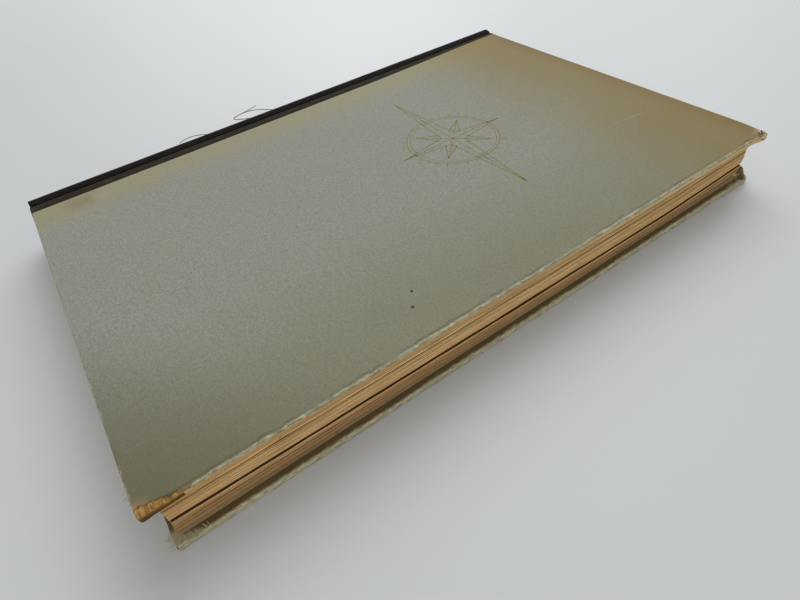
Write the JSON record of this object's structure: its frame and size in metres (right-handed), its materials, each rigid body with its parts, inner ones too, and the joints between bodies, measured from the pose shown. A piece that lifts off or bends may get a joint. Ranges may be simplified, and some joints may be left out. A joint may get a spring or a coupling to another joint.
{
  "type": "hardcover logbook",
  "caption": "Quarter-bound hardcover logbook with a cloth hollow spine, paper-covered boards that open flat and sewn sections of folded sheets.",
  "frame": {"origin": "centre of the closed book's footprint, on the surface that its back cover lies on", "axes": "+X from the spine to the fore edge, +Y from tail to head along the spine, +Z from the back cover to the front cover"},
  "size_m": [0.146, 0.217, 0.0194],
  "materials": {
    "board": "dense grey-brown binder's board, rough where it shows at worn corners",
    "cover_paper": "mottled grey-green covering paper, toned brown and olive at the edges, matt",
    "book_cloth": "dark brown book cloth, fine plain weave, matt, rubbed",
    "mull": "open-weave starched cotton",
    "endpaper": "plain cream endpaper, matt",
    "leaves": "uncoated writing paper, browned at the edges",
    "thread": "waxed linen sewing thread",
    "lining": "brown kraft paper and glue"
  },
  "bodies": {
    "back_cover": {"back_board": "board", "back_paper": "cover_paper", "back_cloth": "book_cloth", "back_mull": "mull", "back_pastedown": "endpaper"},
    "rear_flyleaf": {"rear_flyleaf": "endpaper"},
    "rear_block": {"section_8": "leaves", "section_7": "leaves", "section_6": "leaves", "section_5": "leaves", "rear_sewing": "thread", "rear_spine_mull": "mull", "rear_lining": "lining"},
    "front_block": {"section_4": "leaves", "section_3": "leaves", "section_2": "leaves", "section_1": "leaves", "front_sewing": "thread", "front_spine_mull": "mull", "front_lining": "lining"},
    "spine": {"spine_card": "board", "spine_cloth": "book_cloth"},
    "front_joint": {"joint_cloth": "book_cloth"},
    "front_flyleaf": {"front_flyleaf": "endpaper"},
    "front_cover": {"front_board": "board", "front_paper": "cover_paper", "front_cloth": "book_cloth", "front_mull": "mull", "front_pastedown": "endpaper"}
  },
  "joints": [
    {"name": "rear_flyleaf_turn", "type": "hinge", "parent": "back_cover", "child": "rear_flyleaf", "pos_m": [-0.073, 0, 0], "axis": [0, -1, 0], "range_deg": [0, 60]},
    {"name": "back_cover_hinge", "type": "hinge", "parent": "rear_flyleaf", "child": "rear_block", "pos_m": [-0.073, 0, 0], "axis": [0, -1, 0], "range_deg": [0, 90]},
    {"name": "middle_opening", "type": "hinge", "parent": "rear_block", "child": "front_block", "pos_m": [-0.07115, 0, 0.00968], "axis": [0, 1, 0], "range_deg": [-180, 0]},
    {"name": "spine_swing", "type": "hinge", "parent": "rear_block", "child": "spine", "pos_m": [-0.073, 0, 0], "axis": [0, 1, 0], "range_deg": [-90, 0]},
    {"name": "front_joint_bend", "type": "hinge", "parent": "spine", "child": "front_joint", "pos_m": [-0.073, 0, 0.01936], "axis": [0, 1, 0], "range_deg": [-90, 0]},
    {"name": "front_flyleaf_turn", "type": "hinge", "parent": "front_joint", "child": "front_flyleaf", "pos_m": [-0.069, 0, 0.01936], "axis": [0, 1, 0], "range_deg": [-160, 0]},
    {"name": "front_cover_hinge", "type": "hinge", "parent": "front_flyleaf", "child": "front_cover", "pos_m": [-0.069, 0, 0.01936], "axis": [0, -1, 0], "range_deg": [0, 178]}
  ],
  "couplings": [
    {"joint": "spine_swing", "follows": "middle_opening", "ratio": 0.5},
    {"joint": "front_joint_bend", "follows": "middle_opening", "ratio": 0.5}
  ]
}
